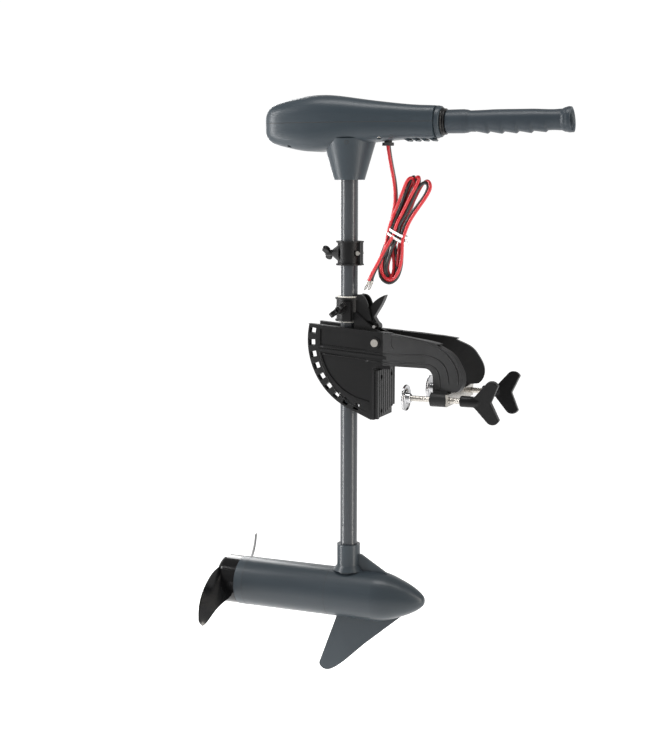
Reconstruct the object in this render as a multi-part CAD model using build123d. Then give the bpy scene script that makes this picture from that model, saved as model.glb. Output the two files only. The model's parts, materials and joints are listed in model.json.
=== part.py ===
from build123d import *
import os
from math import atan2, cos, degrees, hypot, radians, sin, tan

# Transom-mounted electric trolling motor, in millimetres. Everything is drawn in the motor's own
# frame: the shaft stands on the Z axis, the propeller turns about the X axis, +X is forward, into
# the boat, and +Y is port. The export moves it so that the origin is on the face that bears on
# the boat's transom.
TRANSOM_X = 67.0
TRANSOM_Z = 350.0

# Shaft and steering
SHAFT_R = 14.3
SHAFT_BORE_R = 11.3
SHAFT_BOTTOM_Z = 52.0
SHAFT_TOP_Z = 768.0
BUSH_R = 17.0
HOUSING_R = 21.5
HOUSING_BOTTOM_Z = 466.0
HOUSING_TOP_Z = 505.0
COLLAR_Z = 558.0
COLLAR_H = 40.0
COLLAR_R = 19.6

# Pod
POD_R = 41.9
POD_WALL = 3.4
POD_BORE_R = POD_R - POD_WALL
NOSE_TIP_X = 136.5
NOSE_SEAM_X = -29.9
CAP_SEAM_X = -183.6
CAP_REAR_X = -199.0
HUB_REAR_X = -237.0
ROTOR_SHAFT_R = 5.0
BLADE_TIP_R = 121.0

# Tilt bracket
PIVOT_X = 57.0
PIVOT_Z = 434.0
PLATE_IN = 17.5
PLATE_T = 12.0
RIM_R = 119.5
LOCK_R = 111.5
LOCK_FREE_R = 102.0
LOCK_FIRST_DEG = 171.5
LOCK_STEP_DEG = 10.2
LOCK_HOLES = 9
LOCK_BAR_R = 3.6
SPLAY_X = 72.0
SPLAY_DEG = 13.0

# Clamp screws
SCREW_Y = 61.5
SCREW_Z = 352.0
SCREW_R = 5.0
PAD_FACE_X = 121.0
BOSS_X0 = 165.0
BOSS_X1 = 191.5

# Control head and tiller
TILLER_Z = 788.7
SEAM_Z = 788.5
TUBE_R = 12.0
HEAD_WALL = 3.0
BEZEL_X0 = 150.0
GRIP_END_X = 367.0

FIT = 0.05


def tube(outer, inner, length):
    """A tube on the Z axis, from z = 0 up."""
    low = (Align.CENTER, Align.CENTER, Align.MIN)
    return Cylinder(outer, length, align=low) - Cylinder(inner, length, align=low)


def post(radius, length):
    """A cylinder on the Z axis, from z = 0 up."""
    return Cylinder(radius, length, align=(Align.CENTER, Align.CENTER, Align.MIN))


def along(x, y, z, direction):
    """Where something drawn on +Z starts, when +Z is to lie along a direction."""
    return Plane(origin=(x, y, z), z_dir=direction).location


def block(x0, x1, y0, y1, z0, z1):
    """A box between two corners."""
    size = Box(x1 - x0, y1 - y0, z1 - z0, align=(Align.MIN, Align.MIN, Align.MIN))
    return Pos(x0, y0, z0) * size


def about_x(points):
    """A solid of revolution about the X axis, from an outline of (x, radius) points."""
    outline = Plane.XZ * Polyline(*points, close=True)
    return revolve(make_face(outline), Axis.X)


def hex_bar(across, length):
    """A hexagonal bar on the Z axis, from z = 0 up."""
    return extrude(RegularPolygon(across / 2, 6, major_radius=False), length)


def upright(outline, y0, y1):
    """An outline drawn in X and Z, made solid between two values of y."""
    return Pos(0, y1, 0) * extrude(Plane.XZ * make_face(outline), y1 - y0)


# ---------------------------------------------------------------- shaft and pod

def shaft_tube():
    return Pos(0, 0, SHAFT_BOTTOM_Z) * tube(SHAFT_R, SHAFT_BORE_R, SHAFT_TOP_Z - SHAFT_BOTTOM_Z)


SPIGOT = 7.0
SPIGOT_R = POD_BORE_R - FIT
BEARING_R = 11.0
BEARING_W = 7.0
BOLT_R = 2.0
BOLT_AT = 33.8
SOCKET_R = 19.6
SOCKET_TOP = 86.0
SKEG_T = 5.5
FRONT_BEARING_X = -20.0
REAR_BEARING_X = CAP_REAR_X + 9.0
LEAD_HOLE_R = 6.0


def nose_body():
    nose = Line((NOSE_SEAM_X, 0), (NOSE_SEAM_X, POD_R))
    nose += Line((NOSE_SEAM_X, POD_R), (52, POD_R))
    nose += Spline((52, POD_R), (90, 33.2), (120, 19.5), (134, 8.5), tangents=((1, 0), (1, -1.1)))
    nose += Spline((134, 8.5), (NOSE_TIP_X, 0), tangents=((1, -1.1), (0, -1)))
    nose += Line((NOSE_TIP_X, 0), (NOSE_SEAM_X, 0))
    return revolve(Plane.XZ * make_face(nose), Axis.X)


def skeg():
    """The fin under the nose, which keeps the propeller off the bottom."""
    edge = Line((104, -24), (31, -86))
    edge += Line((31, -86), (-6, -121))
    edge += Spline((-6, -121), (-31, -139), (-44, -141), (-53, -129),
                   tangents=((-1, -0.8), (0.35, 1)))
    edge += Line((-53, -129), (-16, -30))
    edge += Line((-16, -30), (104, -24))
    return upright(edge, -SKEG_T / 2, SKEG_T / 2)


def shaft_fin():
    """The web between the pod and the socket that takes the shaft."""
    edge = Polyline((10, 70), (23, 69), (74, 38), (10, 38), close=True)
    return upright(edge, -3, 3)


def seam_spigot(x, towards, groove_x):
    """The turned step that goes into an end of the motor tube, with its seal's groove."""
    step = along(x, 0, 0, (towards, 0, 0)) * tube(SPIGOT_R, SPIGOT_R - 4, SPIGOT)
    groove = along(groove_x - 1.4, 0, 0, (1, 0, 0)) * tube(SPIGOT_R + 1, SPIGOT_R - 2.4, 2.8)
    return step - groove


def bolt_places():
    return [(0, BOLT_AT), (0, -BOLT_AT)]


def nose_casting():
    body = nose_body() + skeg() + shaft_fin()
    body += Pos(0, 0, 30) * post(SOCKET_R, SOCKET_TOP - 30)
    body += Pos(0, 0, 41) * Cone(26, SOCKET_R, 9, align=(Align.CENTER, Align.CENTER, Align.MIN))
    body -= about_x([(NOSE_SEAM_X - 1, 0), (NOSE_SEAM_X - 1, POD_BORE_R - 5),
                     (FRONT_BEARING_X, POD_BORE_R - 5), (FRONT_BEARING_X, 0)])
    body += seam_spigot(NOSE_SEAM_X, -1, NOSE_SEAM_X - 4)
    body -= Pos(0, 0, SHAFT_BOTTOM_Z) * post(SHAFT_R + FIT, 60)
    body -= Pos(0, 0, 24) * post(LEAD_HOLE_R, 40)
    body -= along(FRONT_BEARING_X - 1, 0, 24, (1, 0, 0)) * post(LEAD_HOLE_R, 21)
    body -= along(FRONT_BEARING_X, 0, 0, (1, 0, 0)) * post(BEARING_R + FIT, BEARING_W + 2)
    for y, z in bolt_places():
        body -= along(FRONT_BEARING_X - 20, y, z, (1, 0, 0)) * post(BOLT_R + FIT, 36)
    return body


def motor_tube():
    return along(CAP_SEAM_X, 0, 0, (1, 0, 0)) * tube(POD_R, POD_BORE_R, NOSE_SEAM_X - CAP_SEAM_X)


def rear_end_cap():
    cap = along(CAP_REAR_X, 0, 0, (1, 0, 0)) * post(POD_R, CAP_SEAM_X - CAP_REAR_X)
    cap += seam_spigot(CAP_SEAM_X, 1, CAP_SEAM_X + 4)
    cap -= along(CAP_REAR_X - 1, 0, 0, (1, 0, 0)) * post(ROTOR_SHAFT_R + 1, 30)
    cap -= along(CAP_REAR_X, 0, 0, (1, 0, 0)) * post(10 + FIT, 9)
    cap -= along(REAR_BEARING_X, 0, 0, (1, 0, 0)) * post(BEARING_R + FIT, 20)
    for y, z in bolt_places():
        cap -= along(CAP_REAR_X - 1, y, z, (1, 0, 0)) * post(BOLT_R + FIT, 40)
        cap -= along(CAP_REAR_X - 1, y, z, (1, 0, 0)) * post(4.3, 5)
    return cap


def shaft_seal():
    """The lip seal that keeps water out of the motor."""
    return along(CAP_REAR_X + 1, 0, 0, (1, 0, 0)) * tube(10, ROTOR_SHAFT_R + 0.06, 7)


def bearings():
    rings = []
    for x in (REAR_BEARING_X, FRONT_BEARING_X):
        rings.append(along(x, 0, 0, (1, 0, 0)) * tube(BEARING_R, ROTOR_SHAFT_R + 0.03, BEARING_W))
    return Compound(children=rings)


def tube_seals():
    """The rubber rings in the spigots at both ends of the motor tube."""
    rings = []
    for x in (NOSE_SEAM_X - 4, CAP_SEAM_X + 4):
        rings.append(along(x, 0, 0, (1, 0, 0)) * Torus(SPIGOT_R - 1.15, 1.15))
    return Compound(children=rings)


def through_bolts():
    bolts = []
    for y, z in bolt_places():
        bolt = along(CAP_REAR_X + 0.6, y, z, (1, 0, 0)) * post(4, 3.2)
        bolt += along(CAP_REAR_X + 2, y, z, (1, 0, 0)) * post(BOLT_R, -CAP_REAR_X - 2 - 8)
        bolts.append(bolt)
    return Compound(children=bolts)


MAGNET_X0 = -152.0
MAGNET_X1 = -72.0
MAGNET_IN = 31.6
ARMATURE_R = 30.6
COMMUTATOR_X0 = -60.0
COMMUTATOR_L = 16.0
COMMUTATOR_R = 12.0
BRUSH_PLATE_X = -41.0


def magnets():
    """Two ceramic shells, one each side of the armature."""
    ring = along(MAGNET_X0, 0, 0, (1, 0, 0)) * tube(POD_BORE_R - FIT, MAGNET_IN,
                                                   MAGNET_X1 - MAGNET_X0)
    ring -= Box(400, 22, 100)
    return Compound(children=ring.solids())


def brush_plate():
    plate = along(BRUSH_PLATE_X, 0, 0, (1, 0, 0)) * tube(POD_BORE_R - 5, 8, 3)
    for side in (-1, 1):
        plate += block(BRUSH_PLATE_X - 15, BRUSH_PLATE_X, side * 23 - 9, side * 23 + 9, -6, 6)
        plate -= block(BRUSH_PLATE_X - 13, BRUSH_PLATE_X - 3, side * 23 - 10, side * 23 + 10, -4, 4)
    for y, z in bolt_places():
        plate -= along(BRUSH_PLATE_X - 1, y, z, (1, 0, 0)) * post(BOLT_R + 1, 6)
    return plate


def carbon_brushes():
    brushes = []
    for side in (-1, 1):
        near, far = sorted((side * (COMMUTATOR_R + 0.15), side * 27))
        brushes.append(block(BRUSH_PLATE_X - 12.9, BRUSH_PLATE_X - 3.1, near, far, -3.9, 3.9))
    return Compound(children=brushes)


def motor_leads():
    """The two wires inside the shaft, from the switch to the brushes."""
    wires = []
    for side in (-1, 1):
        path = FilletPolyline((-26, side * 2.6, 24), (0, side * 2.6, 24),
                              (0, side * 2.6, SHAFT_TOP_Z + 3), radius=5)
        wires.append(sweep(Plane(path @ 0, z_dir=path % 0) * Circle(2.1), path))
    return Compound(children=wires)


# ---------------------------------------------------------------- rotor and propeller

DRIVE_PIN_X = -206.0
NUT_X = -226.0


def rotor_shaft():
    shaft = along(NUT_X - 9, 0, 0, (1, 0, 0)) * post(ROTOR_SHAFT_R, FRONT_BEARING_X + 8 - NUT_X + 9)
    return shaft - along(DRIVE_PIN_X, 0, -20, (0, 0, 1)) * post(2, 40)


def drive_pin():
    return along(DRIVE_PIN_X, 0, -12, (0, 0, 1)) * post(1.98, 24)


def armature_core():
    core = along(MAGNET_X0, 0, 0, (1, 0, 0)) * tube(ARMATURE_R, ROTOR_SHAFT_R, 80)
    slots = 12
    for i in range(slots):
        turn = Rot(360 / slots * i, 0, 0)
        core -= turn * block(MAGNET_X0 - 1, MAGNET_X1 + 1, -1.4, 1.4, 18, 40)
    return core


def armature_windings():
    """The copper end turns, and the bars that lie in the core's slots."""
    coil = along(MAGNET_X0 - 9, 0, 0, (1, 0, 0)) * tube(28, 12, 9)
    coil += along(MAGNET_X1, 0, 0, (1, 0, 0)) * tube(28, 12.4, 9)
    for i in range(12):
        coil += Rot(30 * i, 0, 0) * block(MAGNET_X0, MAGNET_X1, -1.35, 1.35, 18.05, 27)
    return coil


def commutator():
    return along(COMMUTATOR_X0, 0, 0, (1, 0, 0)) * tube(COMMUTATOR_R, ROTOR_SHAFT_R, COMMUTATOR_L)


CAMBER = 1.8
# A blade's stations: radius, chord, thickness, pitch angle, sweep about the shaft, set-back.
BLADE_STATIONS = (
    (34.0, 54.0, 6.5, 26.0, -7.0, -217.5),
    (58.0, 54.0, 5.6, 24.0, 1.0, -219.5),
    (82.0, 47.0, 4.4, 22.0, 9.0, -222.5),
    (104.0, 37.0, 3.0, 20.0, 17.0, -225.0),
    (BLADE_TIP_R, 16.0, 2.0, 18.0, 24.0, -227.0),
)


def blade():
    """One blade, which leaves the hub to starboard and sweeps down."""
    sections = []
    for radius, chord, thick, pitch, sweep_deg, x in BLADE_STATIONS:
        edge = ThreePointArc((-chord / 2, 0), (0, CAMBER + thick / 2), (chord / 2, 0))
        edge += ThreePointArc((chord / 2, 0), (0, CAMBER - thick / 2), (-chord / 2, 0))
        section = make_face(edge)
        outward = Rot(sweep_deg, 0, 0) * Pos(x, -radius, 0) * Rot(90, 0, 0) * Rot(0, 0, 90 + pitch)
        sections.append(outward * section)
    return loft(sections)


def propeller_hub():
    """The hub's shell, its boss on the shaft, and the recess for the nut."""
    rim = POD_R - 0.3
    front = CAP_REAR_X - 0.6
    bore = ROTOR_SHAFT_R + 0.02
    floor = HUB_REAR_X + 11
    edge = Polyline((HUB_REAR_X, rim - 11), (HUB_REAR_X, 13), (floor, 13), (floor, bore),
                    (front, bore), (front, 12), (floor + 4, 12), (floor + 4, rim - 4),
                    (front, rim - 4), (front, rim), (HUB_REAR_X + 11, rim))
    edge += ThreePointArc((HUB_REAR_X + 11, rim), (HUB_REAR_X + 3.2, rim - 3.2),
                          (HUB_REAR_X, rim - 11))
    return revolve(Plane.XZ * make_face(edge), Axis.X)


def propeller():
    prop = propeller_hub()
    for turn in (0, 180):
        prop += Rot(turn, 0, 0) * (blade() - along(-300, 0, 0, (1, 0, 0)) * post(POD_R - 2, 200))
    for turn in range(45, 405, 90):
        prop += Rot(turn, 0, 0) * block(HUB_REAR_X + 14, CAP_REAR_X - 4, -1.2, 1.2, 11, POD_R - 3)
    prop -= block(DRIVE_PIN_X - 2.1, DRIVE_PIN_X + 20, -2.1, 2.1, -12.2, 12.2)
    return prop


def prop_washer():
    return along(NUT_X - 1.4, 0, 0, (1, 0, 0)) * tube(10, ROTOR_SHAFT_R + 0.02, 1.4)


def prop_nut():
    nut = along(NUT_X - 7.4, 0, 0, (1, 0, 0)) * hex_bar(16, 6)
    return nut - along(NUT_X - 8, 0, 0, (1, 0, 0)) * post(ROTOR_SHAFT_R + 0.02, 8)


# ---------------------------------------------------------------- control head

# The head's stations along X: distance, half width, bottom and top, corner radius.
HEAD_STATIONS = (
    (-136.0, 31.0, 766.0, 807.0, 12.0),
    (-122.0, 43.0, 755.5, 819.5, 21.0),
    (-92.0, 49.0, 748.0, 827.5, 28.0),
    (-50.0, 51.0, 743.5, 833.6, 31.0),
    (0.0, 47.5, 752.0, 830.6, 28.0),
    (45.0, 41.5, 758.5, 824.0, 24.0),
    (90.0, 34.5, 761.8, 818.4, 20.0),
    (122.0, 30.0, 762.7, 815.4, 18.0),
    (BEZEL_X0, 26.5, 763.0, 814.0, 17.0),
)
HEAD_X0 = HEAD_STATIONS[0][0]
HEAD_L = BEZEL_X0 - HEAD_X0


def head_form(inset):
    """The head's outer form, or the same form drawn in by its wall."""
    sections = []
    for x, half, low, high, corner in HEAD_STATIONS:
        at = HEAD_X0 + inset + (x - HEAD_X0) * (HEAD_L - 2 * inset) / HEAD_L
        shape = RectangleRounded(2 * (half - inset), high - low - 2 * inset, corner - inset)
        place = Plane(origin=(at, 0, (low + high) / 2), x_dir=(0, 1, 0), z_dir=(1, 0, 0))
        sections.append(place * shape)
    return loft(sections)


def below(z):
    return block(-300, 300, -200, 200, z - 400, z)


HEAD_SCREWS_AT = ((-92.0, 34.0), (-92.0, -34.0), (62.0, 28.0), (62.0, -28.0))
HEAD_SCREW_R = 1.5
HEAD_SCREW_SEAT_Z = 766.0


def head_bosses(z0, z1, hole):
    """The posts inside the head that take the cover's screws, between two heights."""
    posts = Part()
    for x, y in HEAD_SCREWS_AT:
        posts += Pos(x, y, z0) * tube(4.5, hole, z1 - z0)
    return posts


def louvre(x):
    """One of the slanted blades under the head's neck."""
    edge = Polyline((x, 767.5), (x + 19, 758), (x + 21, 760.3), (x + 9, 767.5), close=True)
    return upright(edge, -11, 11)


def head_lower_housing():
    shell = (head_form(0) - head_form(HEAD_WALL)) & below(SEAM_Z)
    shell += head_bosses(740, SEAM_Z, 1.6) & head_form(0.5)
    # The rib that carries the inner end of the tiller tube
    rib = block(18, 22, -22, 22, 740, SEAM_Z) & head_form(1)
    shell += rib
    shell -= along(-100, 0, TILLER_Z, (1, 0, 0)) * post(TUBE_R + 0.4, 300)
    shell -= Pos(0, 0, 700) * post(SHAFT_R + FIT, 100)
    shell -= along(67, 0, 740, (0, 0, 1)) * post(6.5, 40)
    for x, y in HEAD_SCREWS_AT:
        shell -= Pos(x, y, HEAD_SCREW_SEAT_Z - 26) * post(3.4, 26)
        shell -= Pos(x, y, HEAD_SCREW_SEAT_Z - 1) * post(HEAD_SCREW_R + 0.1, 30)
    for i in range(4):
        shell += louvre(86 + 14 * i)
    return shell


def head_upper_cover():
    shell = (head_form(0) - head_form(HEAD_WALL)) - below(SEAM_Z)
    shell += head_bosses(SEAM_Z, 840, 1.7) & head_form(0.5)
    shell -= along(-100, 0, TILLER_Z, (1, 0, 0)) * post(TUBE_R + 0.4, 300)
    return shell


def head_socket():
    """The cone under the head that clamps on the shaft."""
    cone = Pos(0, 0, 697.5) * Cone(25.2, 44.5, 66, align=(Align.CENTER, Align.CENTER, Align.MIN))
    cone += Pos(0, 0, 697.5) * post(25.2, 2)
    cone -= head_form(0)
    cone -= Pos(0, 0, 700 + 10) * (
        Cone(21, 38, 42, align=(Align.CENTER, Align.CENTER, Align.MIN)) - post(19, 42))
    cone -= Pos(0, 0, 690) * post(SHAFT_R + FIT, 90)
    return cone.solids().sort_by(SortBy.VOLUME)[-1]


def head_screws():
    """The screws up through the lower housing into the cover."""
    screws = []
    for x, y in HEAD_SCREWS_AT:
        screw = Pos(x, y, HEAD_SCREW_SEAT_Z) * post(HEAD_SCREW_R, 32)
        screws.append(screw + Pos(x, y, HEAD_SCREW_SEAT_Z - 2) * post(3, 2))
    return Compound(children=screws)


def speed_switch():
    """The rotary switch that the twist grip's rod turns."""
    body = block(-88, -64, -17, 17, TILLER_Z - 17, TILLER_Z + 17)
    body += block(-86, -66, -10, 10, 751.6, TILLER_Z - 17)
    body += along(-64, 0, TILLER_Z, (1, 0, 0)) * post(11, 5)
    body -= along(-90, 0, TILLER_Z, (1, 0, 0)) * post(3.8, 60)
    return body


def cable_grommet():
    grommet = Pos(67, 0, 753) * tube(6.4, 5.8, 14)
    grommet += Pos(67, 0, 752) * tube(9.5, 5.8, 5)
    return grommet


def handle_bezel():
    ring = along(BEZEL_X0, 0, TILLER_Z, (1, 0, 0)) * tube(23.5, TUBE_R + 0.4, 9)
    ring += along(BEZEL_X0 + 9, 0, TILLER_Z, (1, 0, 0)) * tube(20.5, TUBE_R + 0.4, 7)
    return ring


TUBE_X0 = -52.0
TUBE_X1 = 342.0


def tiller_tube():
    return along(TUBE_X0, 0, TILLER_Z, (1, 0, 0)) * tube(TUBE_R, 9.5, TUBE_X1 - TUBE_X0)


def switch_rod():
    """The bar inside the tiller tube that passes the grip's turn to the switch."""
    rod = along(-235 + 150, 0, TILLER_Z, (1, 0, 0)) * hex_bar(6, 431)
    return rod + along(TUBE_X1 + 1, 0, TILLER_Z, (1, 0, 0)) * post(11.8, 5)


GRIP_PROFILE = (
    (166.4, 18.6), (196.0, 18.6), (202.0, 16.8), (214.0, 17.0), (330.0, 16.2),
    (345.0, 15.6), (356.0, 18.6), (362.0, 19.8), (GRIP_END_X, 19.2),
)


def twist_grip():
    outline = [(166.4, 12.5), *GRIP_PROFILE, (GRIP_END_X, 15.5), (350, 14.5), (350, 12.5)]
    grip = Pos(0, 0, TILLER_Z) * about_x(outline)
    # Five finger ridges along the underside
    for i in range(5):
        grip += Pos(222 + 22 * i, 0, TILLER_Z - 4.6) * Rot(0, 90, 0) * Cylinder(16.6, 11)
    grip -= along(100, 0, TILLER_Z, (1, 0, 0)) * post(TUBE_R + 0.05, TUBE_X1 + 1 - 100)
    grip -= along(100, 0, TILLER_Z, (1, 0, 0)) * post(11.85, 300)
    return grip


# ---------------------------------------------------------------- depth collar

def wing_knob(span, thick, neck_r, neck, depth):
    """A two-winged knob on the Z axis. Its neck starts at z = 0 and its wings end at neck + depth."""
    knob = post(neck_r, neck + depth * 0.6)
    for side in (-1, 1):
        lobe = Pos(side * span * 0.32, 0, neck + depth * 0.5) * Rot(0, side * 24, 0)
        knob += lobe * (Rot(90, 0, 0) * Cylinder(span * 0.2, thick))
        web = Pos(side * span * 0.17, 0, neck + depth * 0.42) * Rot(0, side * 24, 0)
        knob += web * Box(span * 0.34, thick, depth * 0.62)
    return knob


def depth_collar():
    collar = Pos(0, 0, COLLAR_Z) * post(COLLAR_R, COLLAR_H)
    for z in (COLLAR_Z, COLLAR_Z + COLLAR_H - 2.5):
        collar += Pos(0, 0, z) * post(COLLAR_R + 2.6, 2.5)
        collar += block(0, 23, -8, 8, z, z + 2.5)
    mid = COLLAR_Z + COLLAR_H / 2
    # The tapered boss that the thumb screw goes into
    collar += along(-12, 0, mid, (-1, 0, 0)) * Cone(
        19, 7, 16, align=(Align.CENTER, Align.CENTER, Align.MIN))
    collar += block(12, 22, -7, 7, COLLAR_Z, COLLAR_Z + COLLAR_H)
    collar -= Pos(0, 0, COLLAR_Z - 1) * post(SHAFT_R + 0.08, COLLAR_H + 2)
    collar -= along(0, 0, mid, (-1, 0, 0)) * post(3 + FIT, 60)
    collar -= block(14, 40, -0.8, 0.8, COLLAR_Z - 1, COLLAR_Z + COLLAR_H + 1)
    collar -= along(18.2, -30, mid, (0, 1, 0)) * post(2 + FIT, 60)
    for y0, y1 in ((-30, -7), (7, 30)):
        collar -= block(13.8, 40, y0, y1, mid - 4.6, mid + 4.6)
    return collar


def collar_bolt():
    """The bolt that draws the collar's split ends together."""
    mid = COLLAR_Z + COLLAR_H / 2
    bolt = along(18.2, -7, mid, (0, -1, 0)) * post(3.6, 3)
    bolt += along(18.2, -7, mid, (0, 1, 0)) * post(2, 18)
    nut = along(18.2, 7, mid, (0, 1, 0)) * hex_bar(7, 3)
    return bolt + nut


def collar_knob():
    mid = COLLAR_Z + COLLAR_H / 2
    knob = along(-28.4, 0, mid, (-1, 0, 0)) * Rot(0, 0, -50) * wing_knob(29, 7, 5, 4, 13)
    return knob + along(-SHAFT_R - 0.4, 0, mid, (-1, 0, 0)) * post(3, 16)


# ---------------------------------------------------------------- steering yoke

def steering_bush():
    """The nylon sleeve that turns with the shaft in the steering housing."""
    sleeve = Pos(0, 0, HOUSING_BOTTOM_Z - 2) * tube(BUSH_R, SHAFT_R + 0.08,
                                                  HOUSING_TOP_Z - HOUSING_BOTTOM_Z + 4)
    flange = Pos(0, 0, HOUSING_TOP_Z + 0.3) * tube(20, SHAFT_R + 0.08, 1.7)
    return sleeve + flange


CHEEK_OUT = 17.1
CHEEK_IN = 9.0
STEER_KNOB_Z = 487.0
STEER_KNOB_X = -4.0
LEVER_X = 50.0
LEVER_Z = 459.0


def polar(radius, degree):
    """A point at a distance and an angle from the tilt pivot, as (x, z)."""
    a = radians(degree)
    return PIVOT_X + radius * cos(a), PIVOT_Z + radius * sin(a)


LOCK_REST_DEG = LOCK_FIRST_DEG + LOCK_STEP_DEG * (LOCK_HOLES - 1)


def cheek_outline():
    """A side of the yoke: from the steering housing to the pivot, and down to the lock bar."""
    edge = Polyline((14, 482), (20, 481), (48, 457), (71, 446), (71, 424), (52, 414), (42, 330),
                    (36, 318), (18, 322), (18, 400), close=True)
    return edge


def crown_outline():
    """The rounded lug behind the steering housing, either side of the lever."""
    edge = Polyline((12, 470), (12, 508), (17, 511))
    edge += Spline((17, 511), (31, 507.5), (39, 490), (44, 468), tangents=((1, 0), (0.2, -1)))
    return edge + Polyline((44, 468), (12, 470))


def steering_yoke():
    ring = Pos(0, 0, HOUSING_BOTTOM_Z) * post(HOUSING_R, HOUSING_TOP_Z - HOUSING_BOTTOM_Z)
    for z in (HOUSING_BOTTOM_Z, HOUSING_TOP_Z - 3):
        ring += Pos(0, 0, z) * post(HOUSING_R + 1.8, 3)
    ring += block(-2, 13, -27, 0, HOUSING_BOTTOM_Z + 2, HOUSING_TOP_Z - 6)
    ring += along(STEER_KNOB_X, -15, STEER_KNOB_Z, (0, -1, 0)) * post(8, 15)
    yoke = ring
    for y0, y1 in ((-CHEEK_OUT, -CHEEK_IN), (CHEEK_IN, CHEEK_OUT)):
        yoke += upright(cheek_outline(), y0, y1)
    # The block behind the housing, and the web that ties the two cheeks
    yoke += upright(crown_outline(), -13, 13) - block(25.5, 60, -CHEEK_IN, CHEEK_IN, 450, 520)
    yoke += block(17.5, 24, -CHEEK_IN, CHEEK_IN, 350, 474)
    yoke -= Pos(0, 0, 300) * post(SHAFT_R + 1.2, 166)
    yoke -= Pos(0, 0, HOUSING_BOTTOM_Z - 1) * post(BUSH_R + 0.06, 60)
    yoke -= Pos(0, 0, HOUSING_TOP_Z) * post(SHAFT_R + 8, 20)
    yoke -= along(PIVOT_X, -30, PIVOT_Z, (0, 1, 0)) * post(7 + FIT, 60)
    yoke -= along(LEVER_X, -30, LEVER_Z, (0, 1, 0)) * post(2.5 + FIT, 60)
    yoke -= along(STEER_KNOB_X, 0, STEER_KNOB_Z, (0, -1, 0)) * post(3 + FIT, 60)
    yoke -= lock_slot(LOCK_BAR_R + 0.06)
    return yoke


def lock_slot(radius):
    """The slot in the yoke that the lock bar slides along, towards the bracket's rim."""
    x0, z0 = polar(LOCK_FREE_R - 1.5, LOCK_REST_DEG)
    x1, z1 = polar(LOCK_R + 1.5, LOCK_REST_DEG)
    slot = along(x0, -30, z0, (0, 1, 0)) * post(radius, 60)
    slot += along(x1, -30, z1, (0, 1, 0)) * post(radius, 60)
    mid_x, mid_z = (x0 + x1) / 2, (z0 + z1) / 2
    turn = -degrees(atan2(z1 - z0, x1 - x0))
    slot += Pos(mid_x, 0, mid_z) * Rot(0, turn, 0) * Box(hypot(x1 - x0, z1 - z0), 60, 2 * radius)
    return slot


def pivot_bushes():
    bushes = []
    for side in (-1, 1):
        sleeve = along(PIVOT_X, side * CHEEK_IN, PIVOT_Z, (0, side, 0)) * tube(
            7, 5.06, CHEEK_OUT - CHEEK_IN)
        bushes.append(sleeve)
    return Compound(children=bushes)


def steering_knob():
    at = along(STEER_KNOB_X, -30.3, STEER_KNOB_Z, (0, -1, 0))
    knob = at * Rot(0, 0, 130) * wing_knob(33, 7.5, 5.5, 3, 13)
    return knob + along(STEER_KNOB_X, -BUSH_R - 0.8, STEER_KNOB_Z, (0, -1, 0)) * post(3, 16)


def release_lever():
    """The bent lever that frees the tilt lock."""
    blade_edge = Spline((32, 473), (44.5, 497), (66, 511), tangents=((0.3, 1), (1, 0.35)))
    blade_edge += Spline((66, 511), (57, 491), (46.5, 474), tangents=((-0.3, -1), (-0.6, -1)))
    blade_edge += Polyline((46.5, 474), (57, 457.5), (49, 453), (42, 456), (32, 473))
    lever = upright(blade_edge, -7.5, 7.5)
    lever += along(LEVER_X, -8.7, LEVER_Z, (0, 1, 0)) * post(6.2, 17.4)
    return lever - along(LEVER_X, -30, LEVER_Z, (0, 1, 0)) * post(2.5 + FIT, 60)


def lever_pin():
    return along(LEVER_X, -16.9, LEVER_Z, (0, 1, 0)) * post(2.5, 33.8)


def lock_bar():
    x, z = polar(LOCK_FREE_R, LOCK_REST_DEG)
    return along(x, -22.5, z, (0, 1, 0)) * post(LOCK_BAR_R, 45)


# ---------------------------------------------------------------- transom bracket

def quadrant_outline():
    """The notched quarter disc of a bracket side, with the front edge that meets the pad."""
    start = polar(RIM_R, 167)
    middle = polar(RIM_R, 210)
    end = polar(RIM_R + 1, 252)
    edge = ThreePointArc(start, middle, end)
    edge += Polyline(end, (50, 306.5), (TRANSOM_X - 10, 308), (TRANSOM_X - 10, 392), (84, 392),
                     (84, 451), (54, 453), (-62, 461.5), start)
    return edge


def arm_outline():
    """The clamp arm's side view, from where it leaves the quadrant to its end at the boss."""
    edge = Line((60, 397), (154, 399))
    edge += ThreePointArc((154, 399), (164.5, 394.5), (169, 383))
    edge += Polyline((169, 383), (169, 356), (192, 356), (197, 364), (213, 365.5))
    edge += Spline((213, 365.5), (222.5, 378), (222.5, 393), (213, 412), (197, 428), (176, 438.5),
                   (155, 443.5), tangents=((1, 0.6), (-1, 0.14)))
    edge += Line((155, 443.5), (60, 452.4))
    edge += Line((60, 452.4), (60, 397))
    return edge


def rim_window(degree, y0, y1):
    """One of the rectangular windows that the lock bar drops into."""
    x, z = polar(LOCK_R, degree)
    return Pos(x, (y0 + y1) / 2, z) * Rot(0, -degree, 0) * Box(11.2, y1 - y0, 9.4)


def lock_groove(y0, y1):
    """The blind groove inside the rim that the freed lock bar travels along."""
    width = 2 * LOCK_BAR_R + 1.8
    ring = along(PIVOT_X, y0, PIVOT_Z, (0, 1, 0)) * tube(
        LOCK_FREE_R + width / 2, LOCK_FREE_R - width / 2, y1 - y0)
    low = polar(140, LOCK_FIRST_DEG - 4)
    high = polar(140, LOCK_REST_DEG + 4)
    middle = polar(250, (LOCK_FIRST_DEG + LOCK_REST_DEG) / 2)
    sector = Polyline((PIVOT_X, PIVOT_Z), low, middle, high, close=True)
    return ring & upright(sector, y0, y1)


PANEL_T = 1.6


def panel(points, y0, y1):
    return upright(Polyline(*points, close=True), y0, y1)


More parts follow.
